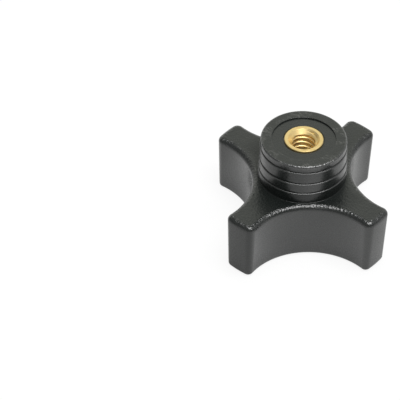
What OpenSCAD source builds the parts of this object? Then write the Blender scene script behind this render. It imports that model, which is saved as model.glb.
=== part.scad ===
// Four-arm hand knob with a threaded brass insert.
// The knob lies on the outer face of its grip, hub upward, with the thread's axis on Z.

/* [Grip] */
// Diameter over the arm tips, where the grip is widest
grip_d = 44.5; // [40:0.5:52]
// Thickness of the grip, from its outer face to the face the hub stands on
grip_h = 14.6; // [11:0.1:18]
// Distance from the axis to the bottom of a finger scallop
web_r = 11.25; // [11.15:0.05:12.5]
// Radius of a finger scallop
scallop_r = 14.9; // [13:0.1:17]
// Upright rounding at the corners of an arm's tip
corner_r = 1.7; // [1.4:0.1:2]
// Rounding of the edge round the outer face
face_edge_r = 0.9; // [0.3:0.05:1.1]
// Rounding of the edge on the hub's side
hub_edge_r = 1; // [0.3:0.05:1.1]
// Draft of the walls in degrees, narrowing toward the outer face
draft = 1.85; // [1:0.05:3]

/* [Hub] */
// Diameter of the hub at its end
hub_d = 19.05; // [17:0.05:19.2]
// Height of the hub over the grip
hub_h = 10.15; // [9.4:0.05:15]
// Rounding of the hub end's outer edge
rim_r = 0.4; // [0.2:0.05:0.8]
// Rounding at the foot of the hub
foot_r = 0.1; // [0.05:0.05:0.3]
// Distance of the first mould line from the hub's end
line_1 = 1.7; // [1.2:0.05:2.2]
// Distance of the second mould line from the hub's end
line_2 = 4.8; // [3.5:0.1:6]
// Distance of the third mould line from the hub's end
line_3 = 7.4; // [6.8:0.1:8.4]
// Width of a mould line
line_w = 0.36; // [0.2:0.02:0.5]
// Depth of a mould line
line_depth = 0.24; // [0.1:0.02:0.4]
// Growth of the hub's radius below each mould line
line_step = 0.12; // [0:0.02:0.14]
// Diameter of the sunk disc in the hub's end
disc_d = 14.2; // [10:0.1:16]
// Depth of the sunk disc
disc_depth = 0.2; // [0.2:0.05:0.8]

/* [Recess] */
// Diameter of the recess in the grip's outer face
recess_d = 14.8; // [11:0.1:17]
// Rounding of the recess's mouth
mouth_r = 1; // [0.4:0.1:1.4]
// Rounding between the recess's wall and its floor
floor_r = 0.8; // [0.3:0.1:1.2]

/* [Insert] */
// Outer diameter of the brass insert
insert_d = 8.6; // [8.2:0.1:10]
// Length of the brass insert
insert_l = 12.7; // [10:0.1:14]
// How far the insert stands out of the sunk disc in the hub's end
end_stand = 0.15; // [0.05:0.05:0.2]
// How far the insert stands out of the recess's floor
floor_stand = 0.4; // [0.1:0.05:1]
// Width of the gap left round the insert in the sunk disc
gap_w = 0.28; // [0.1:0.02:0.4]
// Depth of that gap
gap_depth = 0.3; // [0.1:0.05:0.6]
// Length of the plain collar at each end of the insert
collar_l = 2; // [1.2:0.1:3]
// Width of the retaining groove halfway along the insert
groove_w = 2.2; // [1:0.1:3]
// Depth of the retaining groove
groove_depth = 0.6; // [0.4:0.05:0.9]
// Depth of the knurl
knurl_depth = 0.3; // [0.15:0.05:0.35]
// Number of knurl teeth
knurl_teeth = 32; // [20:2:40]
// Diameter of the tapped hole at the thread's crests
thread_d = 5.1; // [4.2:0.05:5.6]
// Diameter of the countersink at each end of the tapped hole
sink_d = 7; // [6.4:0.1:8]
// Included angle of the countersinks
sink_angle = 90; // [82:2:120]

/* [Hidden] */
$fn = 96;
arms = 4;
mould_lines = [line_1, line_2, line_3];
// Angle between the points of a rounding, and where in that step each crossing wall starts,
// so that no two walls that cross have edges at one height.
round_step = 15;
scallop_phase = 0.5 * round_step;
corner_phase = 0.8 * round_step;
// How far cutters run past a face, and how far they open out there.
cut_over = 0.3;
cut_flare = 0.1;
knurl_under_collar = 0.06;
// A corner's circle is drawn this much larger, to cross its neighbours rather than touch them.
corner_blend = 0.02;
corner_least = 0.05;
// Corner radii that a corner's cutter reaches out from its centre.
corner_reach = 3;

arm_turn = 360 / arms;
hub_end_z = grip_h + hub_h;
disc_z = hub_end_z - disc_depth;
insert_top_z = disc_z + end_stand;
insert_low_z = insert_top_z - insert_l;
floor_z = insert_low_z + floor_stand;
sink_depth = (sink_d - thread_d) / 2 / tan(sink_angle / 2);

// How far the grip's wall has drawn in at height z, from its draft alone.
function drawn_in(z) = (grip_h - z) * tan(draft);

// Point [inset, height] of the wall's rounded edges, a degrees round from the wall.
function low_edge(a) =
    let (z = face_edge_r * (1 - sin(a)))
    [drawn_in(z) + face_edge_r * (1 - cos(a)), z];
function high_edge(a) =
    let (z = grip_h - hub_edge_r * (1 - sin(a)))
    [drawn_in(z) + hub_edge_r * (1 - cos(a)), z];

// The whole wall from face to face, its roundings starting `phase` degrees in from the faces.
function wall_line(phase) = concat(
    [for (a = [90 - phase:-round_step:0]) low_edge(a)],
    [for (a = [(90 - phase) % round_step:round_step:90 - phase]) high_edge(a)]
);

// Half section of a round cutter of radius r that follows the wall, `way` giving the side the wall lies on.
function wall_section(r, way, phase) =
    let (line = wall_line(phase), low = line[0][0], high = line[len(line) - 1][0])
    concat(
        [[0, -cut_over], [r + way * (low + cut_flare), -cut_over]],
        [for (p = line) [r + way * p[0], p[1]]],
        [[r + way * (high + cut_flare), grip_h + cut_over], [0, grip_h + cut_over]]
    );

// Angle between the sides a and b of a triangle, opposite its side c.
function angle_between(a, b, c) = acos((a * a + b * b - c * c) / (2 * a * b));

// Plan of an arm: scallops lie midway between arms, and a corner's circle touches tip and scallop.
tip_r = grip_d / 2;
tip_corner = max(corner_r, drawn_in(0) + face_edge_r + corner_least, hub_edge_r + corner_least);
scallop_x = web_r + scallop_r;
corner_x = tip_r - tip_corner;
corner_turn = arm_turn / 2 - angle_between(corner_x, scallop_x, scallop_r + tip_corner);
corner_pos = corner_x * [cos(corner_turn), sin(corner_turn)];
corner_to_scallop = scallop_x * [cos(arm_turn / 2), sin(arm_turn / 2)] - corner_pos;
corner_open = atan2(corner_to_scallop[1], corner_to_scallop[0]);

// One finger scallop, opening out at both faces to round their edges.
module scallop_cut() {
    translate([scallop_x, 0])
        rotate_extrude()
            polygon(wall_section(scallop_r, 1, scallop_phase));
}

// What comes off one corner of an arm's tip to round it.
module corner_cut() {
    reach = corner_reach * tip_corner;
    turns = [corner_turn, (corner_turn + corner_open) / 2, corner_open];
    translate(corner_pos)
        difference() {
            translate([0, 0, -cut_over / 2])
                linear_extrude(grip_h + cut_over)
                    polygon(concat([[0, 0]], [for (a = turns) reach * [cos(a), sin(a)]]));
            rotate(180)
                rotate_extrude()
                    polygon(wall_section(tip_corner + corner_blend, -1, corner_phase));
        }
}

// The four-armed grip: a drafted disc with scallops cut between the arms.
module grip() {
    difference() {
        rotate_extrude()
            polygon(concat([[0, 0]], [for (p = wall_line(0)) [tip_r - p[0], p[1]]], [[0, grip_h]]));
        for (i = [0:arms - 1])
            rotate((i + 0.5) * arm_turn)
                scallop_cut();
        for (i = [0:arms - 1], side = [0, 1])
            rotate(i * arm_turn)
                mirror([0, side])
                    corner_cut();
    }
}

// Radius of the hub below the given number of mould lines.
function hub_r(lines) = hub_d / 2 + lines * line_step;

// The V of one mould line, with the wider band that starts below it.
function mould_line(lines, depth) = [
    [hub_r(lines), hub_end_z - depth + line_w / 2],
    [hub_r(lines) - line_depth, hub_end_z - depth],
    [hub_r(lines + 1), hub_end_z - depth - line_w / 2]
];

// Points of the rounded rim at the hub's end, and of the hollow rounding at its foot.
function rim_point(a) = [hub_r(0) - rim_r * (1 - cos(a)), hub_end_z - rim_r * (1 - sin(a))];
function foot_point(r, a) = [r + foot_r * (1 - cos(a)), grip_h + foot_r * (1 - sin(a))];

// The hub, turned from its rounded end down to its foot in the grip.
module hub() {
    foot = hub_r(len(mould_lines));
    rotate_extrude()
        polygon(concat(
            [[0, hub_end_z]],
            [for (a = [90:-round_step:0]) rim_point(a)],
            [for (i = [0:len(mould_lines) - 1]) each mould_line(i, mould_lines[i])],
            [for (a = [0:round_step:90 - round_step]) foot_point(foot, a)],
            [[foot + foot_r, grip_h - cut_flare], [0, grip_h - cut_flare]]
        ));
}

// Points of the recess's rounded mouth and of its rounded floor.
function mouth_point(r, a) = [r + mouth_r * (1 - sin(a)), mouth_r * (1 - cos(a))];
function floor_point(r, a) = [r - floor_r * (1 - cos(a)), floor_z - floor_r * (1 - sin(a))];

// The round recess in the grip's outer face, with a rounded mouth and a rounded floor.
module recess() {
    wall = recess_d / 2;
    rotate_extrude()
        polygon(concat(
            [[0, -cut_over], [wall + mouth_r, -cut_over]],
            [for (a = [round_step / 2:round_step:90]) mouth_point(wall, a)],
            [for (a = [0:round_step:90]) floor_point(wall, a)],
            [[0, floor_z]]
        ));
}

// The sunk disc in the hub's end, with the narrow gap that the moulding leaves round the insert.
module end_cut() {
    translate([0, 0, disc_z])
        cylinder(d = disc_d, h = disc_depth + cut_over);
    translate([0, 0, disc_z - gap_depth])
        cylinder(d = insert_d + 2 * gap_w, h = gap_depth + cut_over);
}

// The outside of the insert, which the body is moulded round: collars, knurl and retaining groove.
module insert_form() {
    collar_r = insert_d / 2;
    knurl_r = collar_r - knurl_under_collar;
    translate([0, 0, insert_low_z]) {
        for (z = [0, insert_l - collar_l])
            translate([0, 0, z])
                cylinder(r = collar_r, h = collar_l);
        difference() {
            translate([0, 0, collar_l])
                linear_extrude(insert_l - 2 * collar_l)
                    polygon([for (i = [0:2 * knurl_teeth - 1])
                        let (r = knurl_r - (i % 2) * knurl_depth, a = i * 180 / knurl_teeth)
                        r * [cos(a), sin(a)]]);
            translate([0, 0, (insert_l - groove_w) / 2])
                difference() {
                    cylinder(r = insert_d, h = groove_w);
                    cylinder(r = knurl_r - groove_depth, h = groove_w);
                }
        }
    }
}

// The moulded body, grip and hub in one piece round the insert.
module knob_body() {
    color("#35363a")
        difference() {
            union() {
                grip();
                hub();
            }
            recess();
            end_cut();
            insert_form();
        }
}

// The brass insert, bored through for its thread and countersunk at both ends.
module threaded_insert() {
    color("#d9b25a")
        difference() {
            insert_form();
            translate([0, 0, insert_low_z - cut_over])
                cylinder(d = thread_d, h = insert_l + 2 * cut_over);
            translate([0, 0, insert_top_z - sink_depth])
                cylinder(d1 = thread_d, d2 = sink_d, h = sink_depth);
            translate([0, 0, insert_low_z])
                cylinder(d1 = sink_d, d2 = thread_d, h = sink_depth);
        }
}

knob_body();
threaded_insert();
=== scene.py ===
"""Dresses the four-arm hand knob: a grained black moulding round a turned and tapped brass insert."""

import math

import bpy
import numpy as np
from mathutils import Matrix, Vector


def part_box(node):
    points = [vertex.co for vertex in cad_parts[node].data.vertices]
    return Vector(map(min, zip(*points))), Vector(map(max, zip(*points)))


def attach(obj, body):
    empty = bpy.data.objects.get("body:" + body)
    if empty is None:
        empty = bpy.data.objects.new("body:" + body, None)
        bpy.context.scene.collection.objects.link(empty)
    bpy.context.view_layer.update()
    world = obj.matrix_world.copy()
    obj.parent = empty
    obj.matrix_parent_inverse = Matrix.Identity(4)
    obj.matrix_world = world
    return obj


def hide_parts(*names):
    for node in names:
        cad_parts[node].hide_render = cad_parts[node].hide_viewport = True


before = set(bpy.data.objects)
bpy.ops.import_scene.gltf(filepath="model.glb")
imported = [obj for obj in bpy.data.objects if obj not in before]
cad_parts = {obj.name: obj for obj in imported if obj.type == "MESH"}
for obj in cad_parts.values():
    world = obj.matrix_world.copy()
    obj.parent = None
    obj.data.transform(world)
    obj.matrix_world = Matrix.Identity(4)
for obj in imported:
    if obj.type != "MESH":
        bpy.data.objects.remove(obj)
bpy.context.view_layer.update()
body_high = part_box("knob_body")[1]
insert_low, insert_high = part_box("threaded_insert")

# All sizes below are in millimetres, as in the part's source.
MM = 0.001

# Grip, its tips a hair inside the solid's, its edge on the hub's side rounded 0.2 mm more than the solid's
GRIP_H = 14.6
TIP_R = 22.24
WEB_R = 11.25
SCALLOP_R = 14.9
CORNER_R = 1.7
CORNER_SPARE = 0.05
FACE_EDGE_R = 0.9
HUB_EDGE_R = 1.2
DRAFT = math.tan(math.radians(1.85))
ARMS = 4

# Hub, its disc sunk 0.1 mm deeper than the solid's
HUB_R = 9.525
HUB_END = body_high[2] / MM
RIM_R = 0.4
FOOT_R = 0.1
MOULD_LINES = (1.7, 4.8, 7.4)
LINE_W = 0.36
LINE_DEPTH = 0.24
LINE_STEP = 0.12
LIP_R = 0.06
LIP_RUN = 4 * LIP_R
DISC_R = 7.1
DISC_DEPTH = 0.3
DISC_Z = HUB_END - DISC_DEPTH
DISC_EASE = 0.04
GAP_W = 0.28
GAP_DEPTH = 0.3
GAP_EASE = 0.04

# Insert and its thread
INSERT_R = (insert_high[0] - insert_low[0]) / 2 / MM
INSERT_LOW = insert_low[2] / MM
INSERT_TOP = insert_high[2] / MM
COLLAR_L = 2.0
COLLAR_CHAMFER = 0.1
GROOVE_W = 2.2
GROOVE_DEPTH = 0.6
KNURL_DEPTH = 0.3
KNURL_TEETH = 32
KNURL_TOOTH = (0, 0.5, 1, 0.5)
KNURL_UNDER_COLLAR = 0.06
SINK_R = 3.5
SINK_SLOPE = math.tan(math.radians(45))
CREST_R = 2.55
ROOT_R = 3.175
PITCH = 1.27
FLANK = math.tan(math.radians(30))
FLANK_EASE = 1.42
THREAD_LIFT = 0.5
THREAD_STEP = 0.045

# Recess, the insert standing a little out of its floor
RECESS_R = 7.4
MOUTH_R = 1.0
FLOOR_R = 0.8
FLOOR_SPARE = 0.05
FLOOR_STAND = 0.4
FLOOR_Z = INSERT_LOW + FLOOR_STAND

# Points along half an arm's plan: on its tip, on its corner and on half a scallop
TIP_STEPS = 7
CORNER_STEPS = 12
SCALLOP_STEPS = 30

# Rings along each stretch of the moulding's section, from the recess's floor to the hub's end
FLOOR_RINGS = 6
FLOOR_EDGE_RINGS = 9
RECESS_RINGS = 12
MOUTH_RINGS = 13
FACE_RINGS = 6
FACE_EDGE_RINGS = 11
WALL_RINGS = 16
EDGE_RINGS = 13
SHOULDER_PARTS = (0.04, 0.2, 0.4, 0.6, 0.8)
FOOT_RINGS = 9
RIM_RINGS = 9
DISC_EDGE_RINGS = 5

# Edges that turn by more than this stay sharp
SHARP_ANGLE = math.radians(38)

# Strength of the moulded grain: grip's edges, hub's rim, hub's end, flat faces, walls and hub's side
EDGE_GRAIN = 1.9
RIM_GRAIN = 1.2
END_GRAIN = 0.3
FLAT_GRAIN = 0.5
WALL_GRAIN = 0.1
HUB_GRAIN = 0.15

# Specular level of the plastic, of the hub's worn rim and of the duller band at the hub's foot
PLAIN_GLOSS = 0.5
RIM_GLOSS = 0.8
FOOT_GLOSS = 0.3
# Part of the way across the shoulder where the duller band starts to fade in, and where it is reached
FOOT_FADE = (0.4, 1)

# Heights in metres of the grain, the hub's streaks, the recess's ripples and the brass's turning lines
COARSE_GRAIN = 0.11 * MM
FINE_GRAIN = 0.015 * MM
STREAKS = 0.02 * MM
RIPPLES = 0.008 * MM
TURNING_LINES = 0.02 * MM

# Scale of each noise, in features for each millimetre, and how it is stretched
COARSE_SCALE = 2.0
FINE_SCALE = 5.0
STREAK_STRETCH = (0.12, 0.12, 4)
SHADE_SCALE = 0.22
PATCH_SCALE = 0.5
STROKE_SCALE = 1.2
STROKE_STRETCH = (1, 3, 1)
POLISH_SCALE = 0.9
RIPPLE_SCALE = 0.6
TURNING_SCALE = 7.0
TARNISH_SCALE = 0.8

# Noise values between which the scuffs' patches and strokes fade in
PATCH_FADE = (0.48, 0.6)
STROKE_FADE = (0.45, 0.65)

# Distance outside the thread over which the turning lines fade in
TURNING_FADE = 0.1

# Roughness and refraction
PLASTIC_ROUGH = (0.2, 0.3)
STREAK_ROUGH = 0.04
POLISHED_ROUGH = (0.08, 0.2)
BRASS_ROUGH = (0.36, 0.46)
PLASTIC_IOR = 1.7
POLISHED_IOR = 1.5

# Colours
PLASTIC_DARK = (0.0052, 0.0073, 0.0067)
PLASTIC_LIGHT = (0.0087, 0.0107, 0.0098)
PLASTIC_WORN = (0.055, 0.056, 0.053)
PLASTIC_POLISHED = (0.012, 0.012, 0.013, 1)
BRASS_DARK = (0.85, 0.64, 0.28)
BRASS_LIGHT = (0.915, 0.71, 0.335)
FLOOR_COLOUR = (0.9, 0.9, 0.9, 1)
WHITE = (1, 1, 1, 1)
ROOM = (0.3, 0.3, 0.295)
BACKDROP = (0.78, 0.8, 0.72)
HORIZON = (1.15, 1.15, 1.1)

# The photograph's camera: its focal length in pixels, where it stands, and where the knob lies before it
PHOTO_PX = 400
FOCAL_PX = 2401.86
VIEW_DISTANCE = 547.578
VIEW_ELEVATION = math.radians(42.792)
VIEW_TURN = math.radians(40.358)
VIEW_ROLL = math.radians(0.9)
KNOB_RIGHT = 22.548
KNOB_AWAY = -6.404
SENSOR_MM = 36
CLIP_START = 0.01

# Where the backdrop fades into the room, as a direction's share towards the camera,
# and where its horizon fades into its top, as a direction's height
BACKDROP_FADE = (-0.78, -0.45)
HORIZON_FADE = (0.1, 0.6)

# Floor, in metres: its width, and how far it lies under the knob
FLOOR_SIZE = 6
FLOOR_DROP = 0.00002
# Share of plain white in the floor, as the camera sees it and as reflections do
FLOOR_GLOW = 0.88
MIRRORED_GLOW = 0.43
# Painted shade on the floor's glow as reflections see it: what is left of that glow at the front left and on
# the right, and where it fades
LEFT_SHADE = 0.2
RIGHT_SHADE = 0.55
LEFT_FADE = (-26, -12)
RIGHT_FADE = (8, 28)
SHADE_TURN = math.radians(40)

# Soft lights: azimuth from the camera's right and elevation in degrees, width and depth in metres, watts
LAMPS = {
    "overhead": (-40, 78, (0.4, 0.55), 5.0),
    "front": (-90, 52, (0.3, 0.3), 0.28),
    "right": (10, 30, (0.6, 0.6), 0.4),
}
LAMP_DISTANCE = 0.7


def clear_defaults():
    """Removes what a new Blender file holds besides the frame."""
    for name in ("Cube", "Light", "Camera"):
        thing = bpy.data.objects.get(name)
        if thing:
            bpy.data.objects.remove(thing, do_unlink=True)


# Plan of the grip: the same rays meet the tip, corner and scallop circles at every inset
TIP_CORNER = max(CORNER_R, GRIP_H * DRAFT + FACE_EDGE_R + CORNER_SPARE)
SCALLOP_X = WEB_R + SCALLOP_R
CORNER_X = TIP_R - TIP_CORNER
HALF_ARM = math.pi / ARMS


def plan_of_half_arm():
    """Half an arm's plan, from its tip to a scallop's middle.

    Each row holds a circle's centre, its radius, the sign of the inset on it, and a ray's direction.
    """
    reach = SCALLOP_R + TIP_CORNER
    apart = math.acos((CORNER_X**2 + SCALLOP_X**2 - reach**2) / (2 * CORNER_X * SCALLOP_X))
    turn = HALF_ARM - apart
    corner = CORNER_X * np.array([math.cos(turn), math.sin(turn)])
    scallop = SCALLOP_X * np.array([math.cos(HALF_ARM), math.sin(HALF_ARM)])
    open_turn = math.atan2(*(scallop - corner)[::-1])
    middle = HALF_ARM + math.pi
    stretches = (
        (np.zeros(2), TIP_R, -1, 0, turn, TIP_STEPS),
        (corner, TIP_CORNER, -1, turn, open_turn, CORNER_STEPS),
        (scallop, SCALLOP_R, 1, open_turn + math.pi, middle, SCALLOP_STEPS),
    )
    rows = []
    for centre, radius, sign, start, end, count in stretches:
        for angle in np.linspace(start, end, count, endpoint=False):
            rows.append((*centre, radius, sign, math.cos(angle), math.sin(angle)))
    rows.append((*scallop, SCALLOP_R, 1, math.cos(middle), math.sin(middle)))
    return np.array(rows)


def plan_of_grip():
    """The half arm mirrored and turned into a whole closed plan, starting at an arm's tip."""
    half = plan_of_half_arm()
    centres = half[:, 0:2] @ np.array([1, 1j])
    rays = half[:, 4:6] @ np.array([1, 1j])
    radii, signs = half[:, 2], half[:, 3]
    back = slice(None, 0, -1)
    whole = []
    for i in range(ARMS):
        spin = np.exp(1j * i * 2 * HALF_ARM)
        whole.append((centres[:-1] * spin, radii[:-1], signs[:-1], rays[:-1] * spin))
        spin = np.exp(1j * (i + 1) * 2 * HALF_ARM)
        whole.append((centres[back].conj() * spin, radii[back], signs[back], rays[back].conj() * spin))
    return [np.concatenate(column) for column in zip(*whole)]


PLAN_CENTRES, PLAN_RADII, PLAN_SIGNS, PLAN_RAYS = plan_of_grip()
AZIMUTHS = np.angle(PLAN_CENTRES + PLAN_RADII * PLAN_RAYS)


def outline_ring(inset, z):
    """The grip's outline drawn in by `inset`, at height z."""
    points = PLAN_CENTRES + (PLAN_RADII + PLAN_SIGNS * inset) * PLAN_RAYS
    return np.stack([points.real, points.imag, np.full(len(points), z)], axis=1)


def round_ring(r, z, azimuths=AZIMUTHS):
    """A circle of radius r at height z; r may vary with the azimuth."""
    r = np.broadcast_to(r, azimuths.shape)
    return np.stack([r * np.cos(azimuths), r * np.sin(azimuths), np.full(len(azimuths), z)], axis=1)


def arc(start, end, count):
    """Angles in radians from start to end degrees."""
    return np.radians(np.linspace(start, end, count))


def between(first, last, count):
    """Rings spread evenly between two rings, both left out."""
    return [first + (last - first) * i / (count + 1) for i in range(1, count + 1)]


def drawn_in(z):
    """How far the grip's wall has drawn in at height z, from its draft alone."""
    return (GRIP_H - z) * DRAFT


def recess_rings():
    """From the insert's hole in the recess's floor, along the wall and over the rounded mouth."""
    floor_end = RECESS_R - FLOOR_R - FLOOR_SPARE
    rings = [round_ring(r, FLOOR_Z) for r in np.linspace(INSERT_R, floor_end, FLOOR_RINGS)]
    for a in arc(90, 0, FLOOR_EDGE_RINGS):
        r = RECESS_R - FLOOR_R * (1 - math.cos(a))
        rings.append(round_ring(r, FLOOR_Z - FLOOR_R * (1 - math.sin(a))))
    for z in np.linspace(FLOOR_Z - FLOOR_R, MOUTH_R, RECESS_RINGS)[1:-1]:
        rings.append(round_ring(RECESS_R, z))
    for a in arc(90, 0, MOUTH_RINGS):
        rings.append(round_ring(RECESS_R + MOUTH_R * (1 - math.sin(a)), MOUTH_R * (1 - math.cos(a))))
    return rings


def grip_rings():
    """The grip's wall with its rounded edges, from the outer face to the hub's side."""
    rings = []
    for a in arc(90, 0, FACE_EDGE_RINGS):
        z = FACE_EDGE_R * (1 - math.sin(a))
        rings.append(outline_ring(drawn_in(z) + FACE_EDGE_R * (1 - math.cos(a)), z))
    for z in np.linspace(FACE_EDGE_R, GRIP_H - HUB_EDGE_R, WALL_RINGS)[1:-1]:
        rings.append(outline_ring(drawn_in(z), z))
    for a in arc(0, 90, EDGE_RINGS):
        z = GRIP_H - HUB_EDGE_R * (1 - math.sin(a))
        rings.append(outline_ring(drawn_in(z) + HUB_EDGE_R * (1 - math.cos(a)), z))
    return rings


def mould_line(z, below, above):
    """Half section of one mould line at height z, from the wider band below it to the one above."""
    low, high = z - LINE_W / 2, z + LINE_W / 2
    bottom = above - LINE_DEPTH
    return [
        (below, low - LIP_RUN), (below, low - LIP_R), (below - LIP_R / 2, low), (bottom, z - LIP_R / 2),
        (bottom, z + LIP_R / 2), (above - LIP_R / 2, high), (above, high + LIP_R), (above, high + LIP_RUN),
    ]


def hub_section():
    """Half section of the hub from its foot to its end: rounded foot, stepped bands, mould lines and rim."""
    lines = len(MOULD_LINES)
    foot = HUB_R + lines * LINE_STEP
    points = []
    for a in arc(90, 0, FOOT_RINGS):
        points.append((foot + FOOT_R * (1 - math.cos(a)), GRIP_H + FOOT_R * (1 - math.sin(a))))
    for i in reversed(range(lines)):
        below, above = HUB_R + (i + 1) * LINE_STEP, HUB_R + i * LINE_STEP
        points += mould_line(HUB_END - MOULD_LINES[i], below, above)
    for a in arc(0, 90, RIM_RINGS):
        points.append((HUB_R - RIM_R * (1 - math.cos(a)), HUB_END - RIM_R * (1 - math.sin(a))))
    return points


def hub_end_rings():
    """The flat end of the hub, the step into its sunk disc, and the seat round the insert.

    The rings close beside each edge keep the faces between them flat in smooth shading.
    """
    gap_r, gap_z = INSERT_R + GAP_W, DISC_Z - GAP_DEPTH
    points = [(HUB_R - RIM_R - RIM_R / 4, HUB_END), (DISC_R + 5 * DISC_EASE, HUB_END)]
    for a in arc(0, 90, DISC_EDGE_RINGS):
        points.append((DISC_R + DISC_EASE * (1 - math.sin(a)), HUB_END - DISC_EASE * (1 - math.cos(a))))
    points += [(DISC_R, DISC_Z), (DISC_R - 4 * DISC_EASE, DISC_Z), (INSERT_R + 3 * GAP_W, DISC_Z)]
    points += [(gap_r + GAP_EASE, DISC_Z), (gap_r, DISC_Z - GAP_EASE), (gap_r, gap_z), (INSERT_R, gap_z)]
    return [round_ring(r, z) for r, z in points]


def worn(rings):
    """For each ring of the hub, whether it lies on the scuffed rim round the sunk disc."""
    return [float(ring[0, 2] > HUB_END - RIM_R and np.hypot(*ring[0, :2]) > DISC_R) for ring in rings]


def body_rings():
    """Every ring of the moulding, once round its section, its values, and how many rings the recess has."""
    recess, grip, end = recess_rings(), grip_rings(), hub_end_rings()
    hub = [round_ring(r, z) for r, z in hub_section()]
    face = between(recess[-1], grip[0], FACE_RINGS)
    shoulder = [grip[-1] + (hub[0] - grip[-1]) * part for part in SHOULDER_PARTS]
    wall, edge = grip[:-EDGE_RINGS], grip[-EDGE_RINGS:]
    side, rim = hub[:-RIM_RINGS], hub[-RIM_RINGS:]
    edge_grain = np.linspace(WALL_GRAIN, EDGE_GRAIN, EDGE_RINGS)
    shoulder_gloss = np.interp(SHOULDER_PARTS, FOOT_FADE, (PLAIN_GLOSS, FOOT_GLOSS))
    foot_z = HUB_END - MOULD_LINES[-1] - LINE_W / 2
    side_gloss = [FOOT_GLOSS if ring[0, 2] < foot_z else PLAIN_GLOSS for ring in side]
    # Each stretch with its grain, streaks, gloss and wear: one number, or one for each of its rings
    stretches = (
        (recess, 0, 0, PLAIN_GLOSS, 0),
        (face, FLAT_GRAIN, 0, PLAIN_GLOSS, 0),
        (wall, WALL_GRAIN, 0, PLAIN_GLOSS, 0),
        (edge, edge_grain, 0, PLAIN_GLOSS, 0),
        (shoulder, FLAT_GRAIN, 0, shoulder_gloss, 0),
        (side, HUB_GRAIN, 1, side_gloss, worn(side)),
        (rim, RIM_GRAIN, 0, RIM_GLOSS, worn(rim)),
        (end, END_GRAIN, 0, PLAIN_GLOSS, worn(end)),
    )
    rings = [ring for stretch in stretches for ring in stretch[0]]
    values = {}
    for i, name in enumerate(("grain", "streak", "gloss", "wear"), 1):
        values[name] = np.concatenate([np.broadcast_to(s[i], len(s[0])) for s in stretches])
    return rings, values, len(recess)


def thread_radius(azimuths, z):
    """Radius of the tapped hole at height z: a right-hand helix, cut back by both countersinks."""
    flank_run = (ROOT_R - CREST_R) * FLANK * FLANK_EASE
    turn = ((z - THREAD_LIFT) / PITCH - azimuths / (2 * math.pi)) % 1
    from_root = np.abs(turn - 0.5) * PITCH
    depth = np.clip(1 - from_root / flank_run, 0, 1)
    thread = CREST_R + (ROOT_R - CREST_R) * depth**2 * (3 - 2 * depth)
    sink = SINK_R - min(INSERT_TOP - z, z - INSERT_LOW) * SINK_SLOPE
    return np.maximum(thread, sink)


def insert_rings():
    """Every ring of the brass insert: lower end, collars, knurl and groove, upper end, tapped hole."""
    points = len(KNURL_TOOTH) * KNURL_TEETH
    azimuths = np.arange(points) * 2 * math.pi / points
    tooth = np.array(KNURL_TOOTH * KNURL_TEETH)
    knurl = INSERT_R - KNURL_UNDER_COLLAR - KNURL_DEPTH * tooth
    groove = INSERT_R - KNURL_UNDER_COLLAR - GROOVE_DEPTH
    middle = (INSERT_LOW + INSERT_TOP) / 2
    low_groove, high_groove = middle - GROOVE_W / 2, middle + GROOVE_W / 2
    low_collar, high_collar = INSERT_LOW + COLLAR_L, INSERT_TOP - COLLAR_L
    ease = COLLAR_CHAMFER
    outside = (
        (INSERT_R - ease, INSERT_LOW), (INSERT_R, INSERT_LOW + ease), (INSERT_R, low_collar),
        (knurl, low_collar), (knurl, low_groove), (groove, low_groove),
        (groove, high_groove), (knurl, high_groove), (knurl, high_collar),
        (INSERT_R, high_collar), (INSERT_R, INSERT_TOP - ease), (INSERT_R - ease, INSERT_TOP),
    )
    rings = [round_ring(r, z, azimuths) for r, z in outside]
    count = round((INSERT_TOP - INSERT_LOW) / THREAD_STEP)
    for z in np.linspace(INSERT_TOP, INSERT_LOW, count):
        rings.append(round_ring(thread_radius(azimuths, z), z, azimuths))
    return rings


def loop_mesh(name, rings, materials, slot_of_band, ring_values=None):
    """A closed mesh through rings of equal length, the last joined to the first.

    Each of ring_values is kept on the mesh under its name, with one number for each ring.
    """
    count, size = len(rings), len(rings[0])
    faces = []
    slots = []
    for i in range(count):
        below, above = i * size, (i + 1) % count * size
        for j in range(size):
            k = (j + 1) % size
            faces.append((below + j, below + k, above + k, above + j))
        slots += [slot_of_band(i)] * size
    mesh = bpy.data.meshes.new(name)
    mesh.from_pydata((np.concatenate(rings) * MM).tolist(), [], faces)
    mesh.update()
    for material in materials:
        mesh.materials.append(material)
    mesh.polygons.foreach_set("material_index", slots)
    for key, values in (ring_values or {}).items():
        attribute = mesh.attributes.new(key, "FLOAT", "POINT")
        attribute.data.foreach_set("value", np.repeat(values, size).astype(float))
    piece = bpy.data.objects.new(name, mesh)
    bpy.context.collection.objects.link(piece)
    mesh.shade_smooth()
    mesh.set_sharp_from_angle(angle=SHARP_ANGLE)
    even = piece.modifiers.new("even_normals", "WEIGHTED_NORMAL")
    even.keep_sharp = True
    return piece


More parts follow.
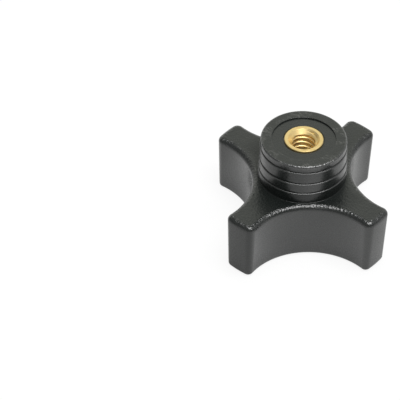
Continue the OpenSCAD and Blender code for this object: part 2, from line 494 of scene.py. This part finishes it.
class Nodes:
    """A small helper that adds shader nodes to one tree and links them."""

    def __init__(self, tree):
        self.tree = tree
        self.tree.nodes.clear()

    def add(self, kind, inputs=None, **settings):
        """A new node; each input is a socket to link or a plain value."""
        node = self.tree.nodes.new(kind)
        for key, value in settings.items():
            setattr(node, key, value)
        for key, value in (inputs or {}).items():
            if isinstance(value, bpy.types.NodeSocket):
                self.tree.links.new(value, node.inputs[key])
            else:
                node.inputs[key].default_value = value
        return node

    def millimetres(self):
        """The object's own coordinates, in millimetres."""
        place = self.add("ShaderNodeTexCoord").outputs["Object"]
        return self.stretched(place, (1 / MM,) * 3)

    def noise(self, vector, scale, detail=2.0, roughness=0.5):
        inputs = {"Vector": vector, "Scale": scale, "Detail": detail, "Roughness": roughness}
        return self.add("ShaderNodeTexNoise", inputs).outputs["Fac"]

    def spread(self, value, low, high, low_in=0.3, high_in=0.7):
        """A value stretched from low_in..high_in, by default a noise's usual range, to low..high."""
        inputs = {"Value": value, "From Min": low_in, "From Max": high_in, "To Min": low, "To Max": high}
        return self.add("ShaderNodeMapRange", inputs).outputs["Result"]

    def combined(self, operation, first, second):
        return self.add("ShaderNodeMath", {0: first, 1: second}, operation=operation).outputs[0]

    def scaled(self, value, factor):
        return self.combined("MULTIPLY", value, factor)

    def stretched(self, vector, factors):
        return self.add("ShaderNodeVectorMath", {0: vector, 1: factors}, operation="MULTIPLY").outputs[0]

    def dot(self, vector, axis):
        node = self.add("ShaderNodeVectorMath", {0: vector, 1: axis}, operation="DOT_PRODUCT")
        return node.outputs["Value"]

    def along(self, vector, turn):
        """How far a vector reaches along the floor in the direction `turn`."""
        return self.dot(vector, (math.cos(turn), math.sin(turn), 0))

    def mixed(self, factor, first, second):
        """A blend of two colours, each a plain one or a socket."""
        node = self.add("ShaderNodeMix", {"Factor": factor}, data_type="RGBA")
        for key, colour in (("A", first), ("B", second)):
            if isinstance(colour, bpy.types.NodeSocket):
                self.tree.links.new(colour, node.inputs[key])
            else:
                node.inputs[key].default_value = (*colour, 1)
        return node.outputs["Result"]

    def ring_value(self, name):
        """A value that the mesh keeps for each of its rings."""
        return self.add("ShaderNodeAttribute", attribute_name=name).outputs["Fac"]

    def bump(self, height, distance, normal=None):
        """A bump whose height is `distance` metres, over another bump's normal if one is given."""
        inputs = {"Height": height, "Distance": distance, "Strength": 1.0}
        if normal is not None:
            inputs["Normal"] = normal
        return self.add("ShaderNodeBump", inputs).outputs["Normal"]

    def surface(self, shader):
        self.add("ShaderNodeOutputMaterial", {"Surface": shader.outputs[0]})

    def principled(self, **inputs):
        """The material's surface; an input's name has _ for each space."""
        named = {key.replace("_", " "): value for key, value in inputs.items()}
        self.surface(self.add("ShaderNodeBsdfPrincipled", named))


def new_material(name):
    """An empty material, with a helper for its nodes."""
    material = bpy.data.materials.new(name)
    material.use_nodes = True
    return material, Nodes(material.node_tree)


def moulded_plastic():
    """Black moulded plastic: a fine grain that breaks up its highlights, streaks round the hub, scuffs."""
    material, n = new_material("moulded_plastic")
    mm = n.millimetres()
    coarse = n.noise(mm, COARSE_SCALE, detail=1)
    fine = n.noise(mm, FINE_SCALE, detail=2, roughness=0.6)
    streaks = n.noise(n.stretched(mm, STREAK_STRETCH), 1.0)
    grain = n.ring_value("grain")
    streak = n.ring_value("streak")
    shade = n.mixed(n.spread(n.noise(mm, SHADE_SCALE, detail=3), 0, 1), PLASTIC_DARK, PLASTIC_LIGHT)
    patches = n.spread(n.noise(mm, PATCH_SCALE), 0, 1, *PATCH_FADE)
    strokes = n.noise(n.stretched(mm, STROKE_STRETCH), STROKE_SCALE, detail=3)
    strokes = n.spread(strokes, 0, 1, *STROKE_FADE)
    scuffs = n.scaled(n.scaled(patches, strokes), n.ring_value("wear"))
    shade = n.mixed(scuffs, shade, PLASTIC_WORN)
    rough = n.combined("ADD", n.spread(fine, *PLASTIC_ROUGH), n.scaled(streak, STREAK_ROUGH))
    normal = n.bump(coarse, n.scaled(grain, COARSE_GRAIN))
    normal = n.bump(fine, n.scaled(grain, FINE_GRAIN), normal)
    normal = n.bump(streaks, n.scaled(streak, STREAKS), normal)
    gloss = n.ring_value("gloss")
    n.principled(
        Base_Color=shade, Roughness=rough, Normal=normal, IOR=PLASTIC_IOR, Specular_IOR_Level=gloss
    )
    return material


def polished_plastic():
    """The same black plastic where a polished core has left it smooth."""
    material, n = new_material("polished_plastic")
    mm = n.millimetres()
    rough = n.spread(n.noise(mm, POLISH_SCALE, detail=3), *POLISHED_ROUGH)
    normal = n.bump(n.noise(mm, RIPPLE_SCALE), RIPPLES)
    n.principled(Base_Color=PLASTIC_POLISHED, Roughness=rough, Normal=normal, IOR=POLISHED_IOR)
    return material


def turned_brass():
    """Bright brass with the fine lines that turning leaves round its axis."""
    material, n = new_material("turned_brass")
    mm = n.millimetres()
    flat = n.stretched(mm, (1, 1, 0))
    radius = n.add("ShaderNodeVectorMath", {0: flat}, operation="LENGTH").outputs["Value"]
    inputs = {"W": radius, "Scale": TURNING_SCALE, "Detail": 3}
    lines = n.add("ShaderNodeTexNoise", inputs, noise_dimensions="1D").outputs["Fac"]
    height = n.spread(radius, 0, TURNING_LINES, ROOT_R, ROOT_R + TURNING_FADE)
    shade = n.mixed(n.spread(n.noise(mm, TARNISH_SCALE, detail=3), 0, 1), BRASS_DARK, BRASS_LIGHT)
    rough = n.spread(lines, *BRASS_ROUGH)
    normal = n.bump(lines, height)
    n.principled(Base_Color=shade, Metallic=1.0, Roughness=rough, Normal=normal)
    return material


def white_floor():
    """A white table that keeps a soft shadow and reads white to the camera; in reflections its glow carries
    painted shade at the front left and on the right.
    """
    material, n = new_material("white_floor")
    path = n.add("ShaderNodeLightPath").outputs
    seen = path["Is Camera Ray"]
    mirrored = n.combined("MAXIMUM", path["Is Glossy Ray"], path["Is Transmission Ray"])
    share = n.combined("MAXIMUM", n.scaled(seen, FLOOR_GLOW), n.scaled(mirrored, MIRRORED_GLOW))
    place = n.millimetres()
    # Painted shade: the glow that reflections see is dimmed at the front left and on the right
    left = n.spread(n.along(place, VIEW_TURN + SHADE_TURN), LEFT_SHADE, 1, *LEFT_FADE)
    right = n.spread(n.along(place, VIEW_TURN), 1, RIGHT_SHADE, *RIGHT_FADE)
    strength = n.combined("MAXIMUM", n.scaled(left, right), seen)
    matte = n.add("ShaderNodeBsdfDiffuse", {"Color": FLOOR_COLOUR})
    glow = n.add("ShaderNodeEmission", {"Color": WHITE, "Strength": strength})
    n.surface(n.add("ShaderNodeMixShader", {0: share, 1: matte.outputs[0], 2: glow.outputs[0]}))
    return material


def studio_world():
    """A dim room with a pale backdrop, brightest at its horizon; the camera itself sees plain white."""
    world = bpy.data.worlds.new("studio")
    world.use_nodes = True
    n = Nodes(world.node_tree)
    way = n.add("ShaderNodeTexCoord").outputs["Generated"]
    to_camera = n.along(way, VIEW_TURN - math.pi / 2)
    behind = n.mixed(n.spread(n.dot(way, (0, 0, 1)), 0, 1, *HORIZON_FADE), HORIZON, BACKDROP)
    colour = n.mixed(n.spread(to_camera, 0, 1, *BACKDROP_FADE), behind, ROOM)
    lighting = n.add("ShaderNodeBackground", {"Color": colour, "Strength": 1.0})
    backdrop = n.add("ShaderNodeBackground", {"Color": WHITE, "Strength": 1.0})
    seen = n.add("ShaderNodeLightPath").outputs["Is Camera Ray"]
    shown = n.add("ShaderNodeMixShader", {0: seen, 1: lighting.outputs[0], 2: backdrop.outputs[0]})
    n.add("ShaderNodeOutputWorld", {"Surface": shown.outputs[0]})
    return world


def studio():
    """White floor, room and soft lights."""
    bpy.ops.mesh.primitive_plane_add(size=FLOOR_SIZE, location=(0, 0, -FLOOR_DROP))
    floor = bpy.context.object
    floor.name = "floor"
    floor.data.materials.append(white_floor())

    bpy.context.scene.world = studio_world()
    for name, settings in LAMPS.items():
        soft_light(name, *settings)


def soft_light(name, azimuth, elevation, size, power):
    """A soft light aimed at the knob."""
    turn = VIEW_TURN + math.radians(azimuth)
    up = math.radians(elevation)
    aim = Vector((0, 0, HUB_END / 2 * MM))
    way = Vector((math.cos(up) * math.cos(turn), math.cos(up) * math.sin(turn), math.sin(up)))
    lamp = bpy.data.lights.new(name, "AREA")
    lamp.shape = "RECTANGLE"
    lamp.size, lamp.size_y = size
    lamp.energy = power
    light = bpy.data.objects.new(name, lamp)
    light.location = aim + way * LAMP_DISTANCE
    light.rotation_euler = way.to_track_quat("Z", "Y").to_euler()
    bpy.context.collection.objects.link(light)


def photo_camera():
    """The photograph's camera, which looks at the middle of the picture with the knob off to the right."""
    right = Vector((math.cos(VIEW_TURN), math.sin(VIEW_TURN), 0))
    away = Vector((-math.sin(VIEW_TURN), math.cos(VIEW_TURN), 0))
    forward = away * math.cos(VIEW_ELEVATION) - Vector((0, 0, math.sin(VIEW_ELEVATION)))
    target = -KNOB_RIGHT * right - KNOB_AWAY * away
    up = right.cross(forward)
    rolled = math.cos(VIEW_ROLL) * right + math.sin(VIEW_ROLL) * up
    raised = -math.sin(VIEW_ROLL) * right + math.cos(VIEW_ROLL) * up
    place = (target - VIEW_DISTANCE * forward) * MM
    lens = bpy.data.cameras.new("photo_camera")
    lens.sensor_width = SENSOR_MM
    lens.lens = FOCAL_PX * SENSOR_MM / PHOTO_PX
    lens.clip_start = CLIP_START
    camera = bpy.data.objects.new("photo_camera", lens)
    axes = Matrix((rolled, raised, -forward)).transposed().to_4x4()
    camera.matrix_world = Matrix.Translation(place) @ axes
    bpy.context.collection.objects.link(camera)
    bpy.context.scene.camera = camera


clear_defaults()
rings, ring_values, recess_bands = body_rings()
plastics = [moulded_plastic(), polished_plastic()]
moulding = loop_mesh("moulding", rings, plastics, lambda band: int(band < recess_bands - 1), ring_values)
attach(moulding, "root")
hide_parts("knob_body")

insert = loop_mesh("tapped_insert", insert_rings(), [turned_brass()], lambda band: 0)
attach(insert, "root")
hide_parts("threaded_insert")

studio()
photo_camera()
bpy.context.scene.view_settings.view_transform = "Standard"
